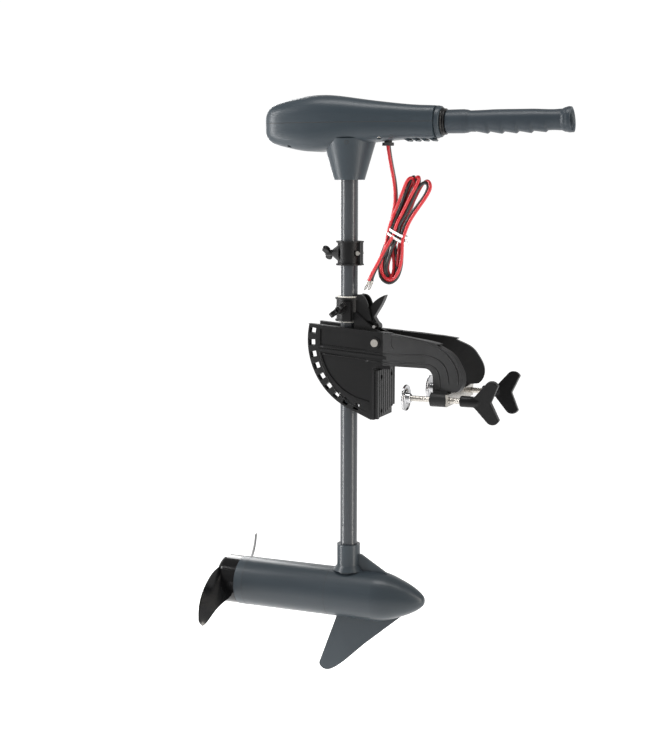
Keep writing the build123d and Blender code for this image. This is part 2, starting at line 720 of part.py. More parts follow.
def starboard_side():
    """The bracket's starboard moulding, drawn on the -Y side."""
    outer = -PLATE_IN - PLATE_T
    side = upright(quadrant_outline(), outer, -PLATE_IN)
    arm = upright(arm_outline(), outer, -PLATE_IN)
    hinge_line = Pos(SPLAY_X, -PLATE_IN, 0)
    arm = hinge_line * Rot(0, 0, -SPLAY_DEG) * hinge_line.inverse() * arm
    side += arm - block(0, 100, -PLATE_IN, 10, 300, 500)
    side += along(BOSS_X0, -SCREW_Y, SCREW_Z, (1, 0, 0)) * post(11, BOSS_X1 - BOSS_X0)
    side += block(169, BOSS_X1, -SCREW_Y, -43, SCREW_Z - 9, 366)
    # Moulded relief on the outer face
    rib = panel([(-44, 421), (84, 412), (84, 407), (-44, 416.5)], outer - PANEL_T, outer + 1)
    side += rib
    side -= panel([(-40, 453), (40, 447), (40, 421), (-40, 427)], outer - 1, outer + PANEL_T)
    side -= upright(dished_panel(), outer - 1, outer + PANEL_T)
    side += along(PIVOT_X, outer - 1.5, PIVOT_Z, (0, 1, 0)) * post(9, 3)
    for i in range(LOCK_HOLES):
        side -= rim_window(LOCK_FIRST_DEG + LOCK_STEP_DEG * i, outer - 1, -PLATE_IN + 1)
    side -= lock_groove(-24, -PLATE_IN + 1)
    side -= along(PIVOT_X, -40, PIVOT_Z, (0, 1, 0)) * post(5 + FIT, 30)
    side -= along(BOSS_X0 - 5, -SCREW_Y, SCREW_Z, (1, 0, 0)) * post(6.5, 60)
    side -= block(BOSS_X1, BOSS_X1 + 3.6, -SCREW_Y - 12, -30, SCREW_Z - 12, SCREW_Z + 10.2)
    for z in PAD_BOLTS_Z:
        side -= along(30, PAD_BOLT_Y, z, (1, 0, 0)) * post(2 + FIT, 60)
    return side


PAD_BOLTS_Z = (322.0, 378.0)
PAD_BOLT_Y = -23.5


def dished_panel():
    """The hollow in the quadrant's outer face, bounded by an arc inside the windows."""
    r = LOCK_R - 14
    start = polar(r, 191)
    end = polar(r, 250)
    edge = ThreePointArc(start, polar(r, 220), end)
    edge += Polyline(end, (48, 336), (48, 402), (30, 407), start)
    return edge


def mirrored(shape):
    return mirror(shape, Plane.XZ)


def screw_insert():
    """The threaded brass sleeve in the starboard boss."""
    return along(BOSS_X0, -SCREW_Y, SCREW_Z, (1, 0, 0)) * tube(6.45, SCREW_R + 0.06,
                                                          BOSS_X1 - BOSS_X0)


def screw_inserts():
    return Compound(children=[screw_insert(), mirrored(screw_insert())])


RIBS = 9
PAD_HALF = 42.0
PLATE_FRONT_X = TRANSOM_X - 10
PAD_SEAT_X = TRANSOM_X - 6


def transom_pad():
    """The ribbed pad that bears on the outside of the transom."""
    pad = block(PLATE_FRONT_X + 0.02, PAD_SEAT_X, -PAD_HALF, PAD_HALF, 309, 391.9)
    step = 2 * PAD_HALF / RIBS
    for i in range(RIBS):
        y = -PAD_HALF + step * (i + 0.5)
        pad += block(PAD_SEAT_X - 1, TRANSOM_X, y - step * 0.35, y + step * 0.35, 310 + 1.8 * i, 390)
    for z in PAD_BOLTS_Z:
        for y in (PAD_BOLT_Y, -PAD_BOLT_Y):
            pad -= along(TRANSOM_X - 20, y, z, (1, 0, 0)) * post(2 + FIT, 60)
            pad -= along(PAD_SEAT_X - 1, y, z, (1, 0, 0)) * post(4.2, 20)
    return pad


def pad_screws():
    screws = []
    for z in PAD_BOLTS_Z:
        for y in (PAD_BOLT_Y, -PAD_BOLT_Y):
            screw = along(PAD_SEAT_X - 1, y, z, (-1, 0, 0)) * post(2, 24)
            screw += along(PAD_SEAT_X - 1, y, z, (1, 0, 0)) * post(4, 2.5)
            screws.append(screw)
    return Compound(children=screws)


def pivot_pin():
    """The pin that the yoke tilts on, with its two low heads."""
    reach = PLATE_IN + PLATE_T + 1.55
    pin = along(PIVOT_X, -reach, PIVOT_Z, (0, 1, 0)) * post(5, 2 * reach)
    for side in (-1, 1):
        pin += along(PIVOT_X, side * reach, PIVOT_Z, (0, side, 0)) * post(6.2, 2.2)
    return pin


def clamp_brace():
    """The steel strap across the two clamp bosses."""
    strap = block(BOSS_X1 + 0.02, BOSS_X1 + 3.5, -SCREW_Y - 9, SCREW_Y + 9, SCREW_Z - 9, SCREW_Z + 10)
    for side in (-1, 1):
        strap -= along(BOSS_X1 - 2, side * SCREW_Y, SCREW_Z, (1, 0, 0)) * post(SCREW_R + 0.6, 10)
    return strap


def clamp_pad():
    """The swivel foot of the starboard clamp screw."""
    foot = along(PAD_FACE_X, -SCREW_Y, SCREW_Z, (1, 0, 0)) * post(21.5, 2)
    foot += along(PAD_FACE_X + 2, -SCREW_Y, SCREW_Z, (1, 0, 0)) * Cone(
        21.5, 8, 4, align=(Align.CENTER, Align.CENTER, Align.MIN))
    foot += along(PAD_FACE_X + 2, -SCREW_Y, SCREW_Z, (1, 0, 0)) * post(8, 9)
    return foot - along(PAD_FACE_X + 3, -SCREW_Y, SCREW_Z, (1, 0, 0)) * post(SCREW_R + 0.3, 20)


def clamp_screw():
    return along(PAD_FACE_X + 3.3, -SCREW_Y, SCREW_Z, (1, 0, 0)) * post(SCREW_R, 106)


WING_T = 10.0
WING_TURN = 8.0
WING_X0 = 213.5


def wing_outline():
    """The two-lobed plate of a clamp handle, in X and its height above the screw."""
    edge = Line((236, -8), (257, -32))
    edge += ThreePointArc((257, -32), (267, -35), (276, -28))
    edge += Spline((276, -28), (268, -10), (263.5, 0), tangents=((-0.5, 1), (-0.4, 1)))
    edge += Spline((263.5, 0), (268, 10), (276, 28), tangents=((0.4, 1), (0.5, 1)))
    edge += ThreePointArc((276, 28), (267, 35), (257, 32))
    edge += Polyline((257, 32), (236, 8), (228, 7.8), (228, -7.8), (236, -8))
    return edge


def clamp_wing():
    """The big two-winged handle of the starboard clamp screw."""
    wing = upright(wing_outline(), -WING_T / 2, WING_T / 2)
    wing += along(WING_X0, 0, 0, (1, 0, 0)) * post(9, 16)
    wing += along(WING_X0 + 16, 0, 0, (1, 0, 0)) * Cone(
        9, 6.5, 14, align=(Align.CENTER, Align.CENTER, Align.MIN))
    wing -= along(WING_X0 - 5, 0, 0, (1, 0, 0)) * post(SCREW_R + 0.01, 21.9)
    return Pos(0, -SCREW_Y, SCREW_Z) * Rot(WING_TURN, 0, 0) * wing


# ---------------------------------------------------------------- supply cable

CONDUCTOR_R = 2.7


def lead(points, radius):
    """A run of round cable through a list of points, its bends as open as the points allow."""
    corners = [Vector(*point) for point in points]
    path = []
    last = corners[0]
    for before, corner, after in zip(corners, corners[1:], corners[2:]):
        into = (corner - before).normalized()
        out = (after - corner).normalized()
        half = radians(into.get_angle(out)) / 2
        back = 0.45 * min((corner - before).length, (after - corner).length)
        bend = back / tan(half)
        start = corner - into * back
        stop = corner + out * back
        middle = corner + (out - into).normalized() * (bend / cos(half) - bend)
        path.append(Line(last, start))
        path.append(ThreePointArc(start, middle, stop))
        last = stop
    path.append(Line(last, corners[-1]))
    wire = Wire([edge for piece in path for edge in piece.edges()])
    section = Plane(wire @ 0, z_dir=wire % 0) * Circle(radius)
    return sweep(section, wire)


# The cable leaves the head, drops to the hank, and its two leads hang in front of the hank.
SUPPLY_ROUTE = ((67, 757), (69, 741), (74, 716), (79, 693), (81, 670), (79.5, 652), (76, 637))
SUPPLY_Y = 2.8
RED_TAIL = (
    (81, -7, 612), (75, -15.5, 597), (64, -17.5, 577), (53, -17, 557), (44.5, -16, 543),
    (40.5, -15, 534.5),
)
BLACK_TAIL = (
    (82, 0, 613), (76.5, -9, 597), (64.5, -11.2, 577), (53, -10.4, 557), (45.5, -9, 543),
    (42.5, -7, 534.5),
)

# The hank's stations from top to bottom: x, z and half width. It is flat, and hangs on edge.
HANK_STATIONS = (
    (122, 705, 15), (117, 692, 22), (102, 660, 20), (92, 633, 18), (83, 612, 18.5),
    (77, 592, 17), (71.5, 568, 18.5), (69.5, 546, 18), (69.5, 533, 11),
)
HANK_Y = 2.0
HANK_T = 18.0


def supply_conductor(side):
    return lead([(x, side * SUPPLY_Y, z) for x, z in SUPPLY_ROUTE], CONDUCTOR_R)


def station_plane(i):
    """The plane across the hank at one of its stations, with its X axis across the width."""
    a = HANK_STATIONS[max(i - 1, 0)]
    b = HANK_STATIONS[min(i + 1, len(HANK_STATIONS) - 1)]
    x, z, _ = HANK_STATIONS[i]
    down = Vector(b[0] - a[0], 0, b[1] - a[1])
    return Plane(origin=(x, HANK_Y, z), x_dir=(-down.Z, 0, down.X), z_dir=down)


def cable_hank():
    sections = []
    for i, (_, _, half) in enumerate(HANK_STATIONS):
        sections.append(station_plane(i) * RectangleRounded(2 * half, HANK_T, 7.5))
    return loft(sections)


TIE_STATION = 4


def cable_tie():
    """The white twist tie round the middle of the hank."""
    half = HANK_STATIONS[TIE_STATION][2]
    band = RectangleRounded(2 * half + 5, HANK_T + 5, 10)
    band -= RectangleRounded(2 * half + 2.4, HANK_T + 2.4, 8.7)
    return station_plane(TIE_STATION) * Rot(0, -12, 0) * extrude(band, 4.5, both=True)


def ring_terminal(route):
    """The crimped ring on the end of a lead, which goes on a battery stud."""
    end = Vector(*route[-1])
    down = (end - Vector(*route[-2])).normalized()
    at = Plane(origin=end, x_dir=(0, 1, 0), z_dir=down).location
    ring = Pos(0, -0.6, 12.2) * Rot(-90, 0, 0) * tube(5.6, TERMINAL_HOLE_R, TERMINAL_T)
    neck = Pos(0, 0, 7) * Box(4.4, TERMINAL_T, 3.4) + post(3.3, 6.4)
    return at * (ring + neck)


TERMINAL_HOLE_R = 3.2
TERMINAL_T = 1.2


def ring_terminals():
    return Compound(children=[ring_terminal(RED_TAIL), ring_terminal(BLACK_TAIL)])


NODES = {
    "shaft_tube": shaft_tube,
    "nose_casting": nose_casting,
    "motor_tube": motor_tube,
    "rear_end_cap": rear_end_cap,
    "shaft_seal": shaft_seal,
    "bearings": bearings,
    "tube_seals": tube_seals,
    "through_bolts": through_bolts,
    "magnets": magnets,
    "brush_plate": brush_plate,
    "carbon_brushes": carbon_brushes,
    "motor_leads": motor_leads,
    "rotor_shaft": rotor_shaft,
    "drive_pin": drive_pin,
    "armature_core": armature_core,
    "armature_windings": armature_windings,
    "commutator": commutator,
    "propeller": propeller,
    "prop_washer": prop_washer,
    "prop_nut": prop_nut,
    "head_lower_housing": head_lower_housing,
    "head_upper_cover": head_upper_cover,
    "head_socket": head_socket,
    "head_screws": head_screws,
    "speed_switch": speed_switch,
    "cable_grommet": cable_grommet,
    "handle_bezel": handle_bezel,
    "tiller_tube": tiller_tube,
    "switch_rod": switch_rod,
    "twist_grip": twist_grip,
    "depth_collar": depth_collar,
    "collar_bolt": collar_bolt,
    "collar_knob": collar_knob,
    "steering_bush": steering_bush,
    "steering_yoke": steering_yoke,
    "pivot_bushes": pivot_bushes,
    "steering_knob": steering_knob,
    "release_lever": release_lever,
    "lever_pin": lever_pin,
    "lock_bar": lock_bar,
    "bracket_side_starboard": starboard_side,
    "bracket_side_port": lambda: mirrored(starboard_side()),
    "screw_inserts": screw_inserts,
    "transom_pad": transom_pad,
    "pad_screws": pad_screws,
    "tilt_pivot_pin": pivot_pin,
    "clamp_brace": clamp_brace,
    "clamp_pad_starboard": clamp_pad,
    "clamp_pad_port": lambda: mirrored(clamp_pad()),
    "clamp_screw_starboard": clamp_screw,
    "clamp_screw_port": lambda: mirrored(clamp_screw()),
    "clamp_wing_starboard": clamp_wing,
    "clamp_wing_port": lambda: mirrored(clamp_wing()),
    "red_cable": lambda: supply_conductor(-1),
    "black_cable": lambda: supply_conductor(1),
    "cable_hank": cable_hank,
    "cable_tie": cable_tie,
    "red_tail": lambda: lead(RED_TAIL, CONDUCTOR_R),
    "black_tail": lambda: lead(BLACK_TAIL, CONDUCTOR_R),
    "ring_terminals": ring_terminals,
}


def write_parts():
    os.makedirs("parts", exist_ok=True)
    for name, make in NODES.items():
        shape = Pos(-TRANSOM_X, 0, -TRANSOM_Z) * make()
        export_step(shape, f"parts/{name}.step")


write_parts()
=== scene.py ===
import json
from math import cos, pi, radians, sin, tau

import bmesh
import bpy
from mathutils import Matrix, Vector

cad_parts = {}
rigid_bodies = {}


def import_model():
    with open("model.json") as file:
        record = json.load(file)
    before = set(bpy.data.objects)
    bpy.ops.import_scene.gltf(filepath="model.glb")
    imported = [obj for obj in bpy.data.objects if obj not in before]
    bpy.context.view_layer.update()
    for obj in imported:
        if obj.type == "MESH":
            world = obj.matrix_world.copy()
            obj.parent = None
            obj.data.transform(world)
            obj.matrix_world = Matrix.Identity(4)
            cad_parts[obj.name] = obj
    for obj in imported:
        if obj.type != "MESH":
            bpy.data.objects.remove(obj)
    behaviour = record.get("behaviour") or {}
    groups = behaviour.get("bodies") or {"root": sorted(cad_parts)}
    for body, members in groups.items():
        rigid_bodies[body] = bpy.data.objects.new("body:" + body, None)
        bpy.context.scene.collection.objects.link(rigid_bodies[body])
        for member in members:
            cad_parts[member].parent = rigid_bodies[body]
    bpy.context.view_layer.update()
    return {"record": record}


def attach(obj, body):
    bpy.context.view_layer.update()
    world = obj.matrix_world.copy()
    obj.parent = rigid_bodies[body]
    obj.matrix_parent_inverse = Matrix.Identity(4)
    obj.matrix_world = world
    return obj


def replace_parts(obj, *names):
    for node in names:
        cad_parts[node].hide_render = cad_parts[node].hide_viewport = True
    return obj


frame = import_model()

# Everything below is written in the motor's own millimetres: the shaft on the Z axis, the propeller
# on the X axis. place() moves a point into the model's frame, in metres.
ORIGIN = Vector((67.0, 0.0, 350.0))

HANDLE_Z = 788.7        # height of the tiller's axis
HEAD_JOIN_Z = 788.5     # height where the head's cover meets its housing
SCREW_Y = 61.5          # clamp screws' axes, either side of the middle
SCREW_Z = 352
SIDE_FACE_Y = 29.5      # outer face of a bracket side where it lies along the shaft
ARM_BEND_X = 72         # from here a bracket side splays outward
ARM_SPLAY = radians(13)
FLOOR_Z = -0.95         # metres
NOSE_SEAM_X = -29.9     # where the pod's nose casting meets its tube
CAP_SEAM_X = -183.6     # and where the tube meets the rear cap
POD_SEAM_R = 41.78
GRIP_START_X = 166.4
GRIP_LENGTH = 200.6
GRIP_FLARE_X = 355      # from here the grip's end leans with its flare
CAMERA_AT = (0.7779, -2.1187, 0.3390)
CAMERA_HEADING = (-0.3867, 0.9222)
CAMERA_PITCH = 0.137


def place(x, y, z):
    return (Vector((x, y, z)) - ORIGIN) / 1000


# ------------------------------------------------------------------ camera, floor and light

def make_camera():
    data = bpy.data.cameras.new("camera")
    data.lens = 66.12
    data.sensor_width = 36.0
    camera = bpy.data.objects.new("camera", data)
    bpy.context.scene.collection.objects.link(camera)
    camera.location = CAMERA_AT
    level = cos(CAMERA_PITCH)
    look = Vector((CAMERA_HEADING[0] * level, CAMERA_HEADING[1] * level, -sin(CAMERA_PITCH)))
    camera.rotation_euler = look.to_track_quat("-Z", "Y").to_euler()
    bpy.context.scene.camera = camera


def node_material(name):
    material = bpy.data.materials.new(name)
    material.use_nodes = True
    tree = material.node_tree
    shader = tree.nodes["Principled BSDF"]
    return material, tree, shader


def make_floor():
    material, _, shader = node_material("studio_floor")
    shader.inputs["Base Color"].default_value = (0.93, 0.93, 0.93, 1)
    shader.inputs["Roughness"].default_value = 0.9
    shader.inputs["Emission Color"].default_value = (1, 1, 1, 1)
    shader.inputs["Emission Strength"].default_value = 0.62
    mesh = bpy.data.meshes.new("studio_floor")
    side = 30.0
    corners = [(x * side, y * side, FLOOR_Z) for x, y in ((-1, -1), (1, -1), (1, 1), (-1, 1))]
    mesh.from_pydata(corners, [], [(0, 1, 2, 3)])
    mesh.materials.append(material)
    floor = bpy.data.objects.new("studio_floor", mesh)
    bpy.context.scene.collection.objects.link(floor)


def area_light(name, place_at, target, size, power, colour=(1, 1, 1)):
    data = bpy.data.lights.new(name, "AREA")
    data.shape = "RECTANGLE"
    data.size, data.size_y = size
    data.energy = power
    data.color = colour
    light = bpy.data.objects.new(name, data)
    bpy.context.scene.collection.objects.link(light)
    light.location = place_at
    light.rotation_euler = (Vector(target) - Vector(place_at)).to_track_quat("-Z", "Y").to_euler()


def make_world():
    """White all round near the horizon, dimmer overhead and on the photographer's side of the studio."""
    world = bpy.data.worlds.new("studio")
    world.use_nodes = True
    tree = world.node_tree
    back = tree.nodes["Background"]
    where = tree.nodes.new("ShaderNodeTexCoord")
    parts = tree.nodes.new("ShaderNodeSeparateXYZ")
    tree.links.new(where.outputs["Generated"], parts.inputs[0])
    dims = []
    for axis, start, end, low in (("Z", 0.16, 0.75, 0.38), ("Y", -0.25, -0.85, 0.42)):
        ramp = tree.nodes.new("ShaderNodeMapRange")
        ramp.interpolation_type = "SMOOTHSTEP"
        ramp.inputs["From Min"].default_value = start
        ramp.inputs["From Max"].default_value = end
        ramp.inputs["To Min"].default_value = 1.02
        ramp.inputs["To Max"].default_value = low
        tree.links.new(parts.outputs[axis], ramp.inputs["Value"])
        dims.append(ramp)
    both = tree.nodes.new("ShaderNodeMath")
    both.operation = "MINIMUM"
    tree.links.new(dims[0].outputs["Result"], both.inputs[0])
    tree.links.new(dims[1].outputs["Result"], both.inputs[1])
    tree.links.new(both.outputs[0], back.inputs["Strength"])
    back.inputs["Color"].default_value = (1.0, 1.0, 1.0, 1)
    bpy.context.scene.world = world


def make_light():
    make_world()
    area_light("left_strip", (-1.5, -0.75, 0.25), (-0.05, 0, 0), (0.22, 2.4), 46)
    area_light("right_strip", (1.45, -0.35, 0.2), (0, 0, 0), (0.2, 2.4), 22, (1.0, 0.95, 0.88))
    area_light("top", (0.1, -0.3, 2.1), (0, 0, 0.1), (1.8, 0.5), 34)
    area_light("rim", (-1.3, 1.6, 0.6), (0, 0, 0), (0.4, 1.8), 20)
    bpy.context.scene.view_settings.view_transform = "Standard"


# ------------------------------------------------------------------ materials

def add_node(tree, kind, **values):
    node = tree.nodes.new(kind)
    for key, value in values.items():
        if key in node.inputs:
            node.inputs[key].default_value = value
        else:
            setattr(node, key, value)
    return node


def surface(name, colour, rough, spread=0.25, grain=900.0, bump=0.06, metal=0.0, coat=0.0,
            large=14.0, edge_highlight=0.0, stretch=(1, 1, 1), specular=0.5, coat_rough=0.15):
    """A finish with a mottled colour, a grain that you can feel, and a painted highlight that paints convex
    edges paler.
    """
    material, tree, shader = node_material(name)
    shader.inputs["Metallic"].default_value = metal
    shader.inputs["Coat Weight"].default_value = coat
    shader.inputs["Coat Roughness"].default_value = coat_rough
    shader.inputs["Specular IOR Level"].default_value = specular
    where = add_node(tree, "ShaderNodeTexCoord")
    turned = add_node(tree, "ShaderNodeMapping", Scale=stretch)
    tree.links.new(where.outputs["Object"], turned.inputs["Vector"])
    cloud = add_node(tree, "ShaderNodeTexNoise", Scale=large, Detail=6.0, Roughness=0.6)
    fine = add_node(tree, "ShaderNodeTexNoise", Scale=grain, Detail=3.0, Roughness=0.55)
    for texture in (cloud, fine):
        tree.links.new(turned.outputs["Vector"], texture.inputs["Vector"])
    mix = add_node(tree, "ShaderNodeMix", data_type="RGBA")
    dark = [c * (1 - spread) for c in colour]
    pale = [c * (1 + spread) for c in colour]
    mix.inputs[6].default_value = (*dark, 1)
    mix.inputs[7].default_value = (*pale, 1)
    both = add_node(tree, "ShaderNodeMath", operation="MULTIPLY_ADD")
    both.inputs[1].default_value = 0.35
    tree.links.new(fine.outputs["Fac"], both.inputs[0])
    scaled = add_node(tree, "ShaderNodeMath", operation="MULTIPLY")
    scaled.inputs[1].default_value = 0.65
    tree.links.new(cloud.outputs["Fac"], scaled.inputs[0])
    tree.links.new(scaled.outputs[0], both.inputs[2])
    tree.links.new(both.outputs[0], mix.inputs[0])
    result = mix.outputs[2]
    # Painted highlight: edges picked out by pointiness get a paler colour, standing in for light catching
    # them.
    if edge_highlight:
        shape = add_node(tree, "ShaderNodeNewGeometry")
        ramp = add_node(tree, "ShaderNodeMapRange")
        ramp.inputs["From Min"].default_value = 0.52
        ramp.inputs["From Max"].default_value = 0.62
        ramp.inputs["To Max"].default_value = edge_highlight
        tree.links.new(shape.outputs["Pointiness"], ramp.inputs["Value"])
        edge = add_node(tree, "ShaderNodeMix", data_type="RGBA")
        edge.inputs[7].default_value = (*[min(1.0, c * 2.2 + 0.02) for c in colour], 1)
        tree.links.new(ramp.outputs["Result"], edge.inputs[0])
        tree.links.new(result, edge.inputs[6])
        result = edge.outputs[2]
    tree.links.new(result, shader.inputs["Base Color"])
    shine = add_node(tree, "ShaderNodeMapRange")
    shine.inputs["To Min"].default_value = rough * 0.85
    shine.inputs["To Max"].default_value = min(1.0, rough * 1.2)
    tree.links.new(cloud.outputs["Fac"], shine.inputs["Value"])
    tree.links.new(shine.outputs["Result"], shader.inputs["Roughness"])
    relief = add_node(tree, "ShaderNodeBump", Strength=bump, Distance=0.0004)
    tree.links.new(fine.outputs["Fac"], relief.inputs["Height"])
    tree.links.new(relief.outputs["Normal"], shader.inputs["Normal"])
    return material


# The edge amount given to some finishes below paints their convex edges paler, as a painted highlight.
FINISHES = {
    "black_nylon": surface("black_nylon", (0.0030, 0.0030, 0.0032), 0.40, 0.3, 1500, 0.3, edge_highlight=0.3,
                           specular=0.20),
    "grey_cast": surface("grey_cast", (0.023, 0.030, 0.036), 0.32, 0.08, 700, 0.10, edge_highlight=0.15,
                         specular=0.30),
    "grey_steel": surface("grey_steel", (0.023, 0.030, 0.036), 0.30, 0.08, 700, 0.10, specular=0.32),
    "grey_plastic": surface("grey_plastic", (0.020, 0.028, 0.035), 0.36, 0.08, 1200, 0.12, edge_highlight=0.10,
                            specular=0.30),
    "shaft_composite": surface("shaft_composite", (0.028, 0.032, 0.037), 0.27, 0.10, 900, 0.10,
                               stretch=(1, 1, 0.05), specular=0.45),
    "grip_plastic": surface("grip_plastic", (0.018, 0.025, 0.032), 0.40, 0.10, 1400, 0.15, edge_highlight=0.15,
                            specular=0.28),
    "prop_plastic": surface("prop_plastic", (0.0020, 0.0020, 0.0023), 0.14, 0.25, 300, 0.03, specular=0.32),
    "knob_plastic": surface("knob_plastic", (0.0030, 0.0030, 0.0032), 0.33, 0.25, 1300, 0.2, edge_highlight=0.15,
                            specular=0.20),
    "chrome": surface("chrome", (0.40, 0.40, 0.41), 0.12, 0.10, 400, 0.02, metal=1.0),
    "steel": surface("steel", (0.34, 0.33, 0.32), 0.28, 0.10, 900, 0.05, metal=1.0),
    "zinc": surface("zinc", (0.40, 0.38, 0.35), 0.26, 0.15, 700, 0.05, metal=1.0),
    "brass": surface("brass", (0.62, 0.42, 0.16), 0.28, 0.1, 800, 0.05, metal=1.0),
    "copper": surface("copper", (0.60, 0.25, 0.13), 0.32, 0.1, 800, 0.05, metal=1.0),
    "rubber": surface("rubber", (0.012, 0.012, 0.012), 0.62, 0.2, 1100, 0.2),
    "magnet": surface("magnet", (0.03, 0.03, 0.03), 0.6, 0.2, 900, 0.2),
    "laminations": surface("laminations", (0.28, 0.28, 0.29), 0.4, 0.1, 900, 0.1, metal=1.0),
    "carbon": surface("carbon", (0.02, 0.02, 0.02), 0.6, 0.2, 900, 0.1),
    "phenolic": surface("phenolic", (0.18, 0.09, 0.04), 0.5, 0.2, 500, 0.1),
    "nylon_white": surface("nylon_white", (0.62, 0.60, 0.55), 0.45, 0.05, 900, 0.08),
    "red_pvc": surface("red_pvc", (0.42, 0.010, 0.016), 0.30, 0.10, 700, 0.05, coat=0.1),
    "black_pvc": surface("black_pvc", (0.012, 0.012, 0.012), 0.30, 0.2, 700, 0.05, coat=0.1),
    "white_tie": surface("white_tie", (0.80, 0.80, 0.80), 0.40, 0.05, 900, 0.06),
}


def finish_nodes():
    for part in frame["record"]["subparts"]:
        material = FINISHES[part["material_slot"]]
        found = bpy.data.objects[part["node"]]
        found.data.materials.clear()
        found.data.materials.append(material)


# ------------------------------------------------------------------ supply cable

WIRE_D = 5.4
SUPPLY = ((67, 757), (69, 741), (74, 716), (79, 693), (81, 670), (79.5, 652), (75, 634))
TIE_AT = (82.0, 608.0)
ACROSS = (0.93, -0.37)
LAYERS = (-3.6, 2.0, 7.6)
# Where each pass of the twin cable goes through the tie: (across, layer) for red, then for black.
PASSES = (
    ((-13.5, 1), (-13.5, 2)), ((13.5, 0), (8.1, 0)), ((2.7, 1), (2.7, 0)), ((8.1, 1), (13.5, 1)),
    ((-13.5, 0), (-8.1, 0)), ((-8.1, 1), (-8.1, 2)), ((-2.7, 0), (-2.7, 1)),
)
# Each end loop's centre line as (x, z, y, side turn in degrees), from the tie and back to it.
LOOPS = (
    ((62, 590, 3, 100), (55, 570, 4, 110), (53, 551, 4, 120), (58, 537, 3, 160), (70, 531, 2, 190),
     (82, 538, 1, 240), (90, 555, 0, 270), (93, 578, -1, 290), (93, 594, -2, 290)),
    ((103, 632, -3, 340), (119, 653, -4, 320), (133, 672, -3, 320), (139, 686, -1, 340),
     (134, 695, 1, 390), (125, 692, 2, 450), (114, 675, 1, 490), (102, 650, 0, 500), (91, 628, 0, 480)),
    ((77, 590, 1, 450), (68, 570, 4, 450), (63, 553, 6, 460), (66, 541, 8, 480), (75, 538, 9, 540),
     (83, 548, 8, 560), (86, 566, 6, 560), (88, 590, 4, 540)),
    ((95, 632, 5, 520), (104, 655, 6, 520), (112, 678, 6, 520), (114, 694, 4, 540), (110, 703, 0, 600),
     (104, 697, -4, 680), (96, 676, -4, 690), (85, 648, -4, 700), (75, 625, -4, 700)),
    ((67, 590, -1, 700), (60, 570, 0, 690), (58, 551, 1, 680), (63, 538, 2, 640), (73, 535, 3, 600),
     (79, 547, 5, 560), (79, 566, 6, 540), (76, 588, 5, 540)),
    ((84, 634, 6, 540), (94, 660, 7, 540), (105, 684, 7, 540), (113, 699, 5, 560), (121, 702, 1, 600),
     (120, 691, -3, 640), (109, 668, -5, 680), (95, 640, -5, 700), (86, 624, -5, 700)),
)
TAILS = (
    ((75, -15.5, 597), (64, -17.5, 577), (53, -17, 557), (44.5, -16, 543), (40.5, -15, 534.5)),
    ((76.5, -9, 597), (64.5, -11.2, 577), (53, -10.4, 557), (45.5, -9, 543), (42.5, -7, 534.5)),
)


def through_tie(number, conductor):
    across, layer = PASSES[number][conductor]
    return Vector((TIE_AT[0] + ACROSS[0] * across, LAYERS[layer], TIE_AT[1] + ACROSS[1] * across))


def wire_route(conductor):
    """One conductor's points: down from the grommet, round the hank's loops, and out in its tail."""
    sign = -1 if conductor == 0 else 1
    points = [Vector((x, sign * 2.8, z)) for x, z in SUPPLY]
    for number, loop in enumerate(LOOPS):
        points.append(through_tie(number, conductor))
        for i, (x, z, y, turn) in enumerate(loop):
            before = loop[i - 1] if i else (*TIE_AT, 0, 0)
            after = loop[i + 1] if i + 1 < len(loop) else (*TIE_AT, 0, 0)
            run = Vector((after[0] - before[0], 0, after[1] - before[1])).normalized()
            side = Vector((run.z, 0, -run.x))
            offset = side * cos(radians(turn)) + Vector((0, 1, 0)) * sin(radians(turn))
            points.append(Vector((x, y, z)) - sign * offset * WIRE_D / 2 * 1.03)
    points.append(through_tie(len(LOOPS), conductor))
    points += [Vector(p) for p in TAILS[conductor]]
    return [place(*p) for p in points]


def smooth_curve(name, points, radius, material):
    data = bpy.data.curves.new(name, "CURVE")
    data.dimensions = "3D"
    data.bevel_depth = radius
    data.bevel_resolution = 5
    data.resolution_u = 10
    data.use_fill_caps = True
    line = data.splines.new("NURBS")
    line.points.add(len(points) - 1)
    for point, at in zip(line.points, points):
        point.co = (*at, 1)
    line.order_u = 3
    line.use_endpoint_u = True
    piece = bpy.data.objects.new(name, data)
    piece.data.materials.append(material)
    bpy.context.scene.collection.objects.link(piece)
    return piece


def mesh_piece(name, shape, material, body, smooth=True):
    mesh = bpy.data.meshes.new(name)
    bmesh.ops.recalc_face_normals(shape, faces=shape.faces)
    shape.to_mesh(mesh)
    shape.free()
    for face in mesh.polygons:
        face.use_smooth = smooth
    mesh.materials.append(FINISHES[material])
    piece = bpy.data.objects.new(name, mesh)
    bpy.context.scene.collection.objects.link(piece)
    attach(piece, body)
    return piece


def swept_rings(shape, rings, closed=False):
    """Joins rings of points into a skin, capped at both ends unless it is closed on itself."""
    rows = [[shape.verts.new(p) for p in ring] for ring in rings]
    pairs = list(zip(rows, rows[1:])) + ([(rows[-1], rows[0])] if closed else [])
    for a, b in pairs:
        for i in range(len(a)):
            j = (i + 1) % len(a)
            shape.faces.new((a[i], a[j], b[j], b[i]))
    if not closed:
        shape.faces.new(rows[0])
        shape.faces.new(list(reversed(rows[-1])))


def lathe(shape, origin, axis, profile, steps=48):
    """A turned solid: the profile's (distance along the axis, radius) points, in millimetres."""
    axis = Vector(axis).normalized()
    side = axis.orthogonal().normalized()
    other = axis.cross(side)
    rings = []
    for along, radius in profile:
        ring = []
        for i in range(steps):
            a = tau * i / steps
            ring.append(place(*(Vector(origin) + axis * along + (side * cos(a) + other * sin(a)) * radius)))
        rings.append(ring)
    swept_rings(shape, rings)


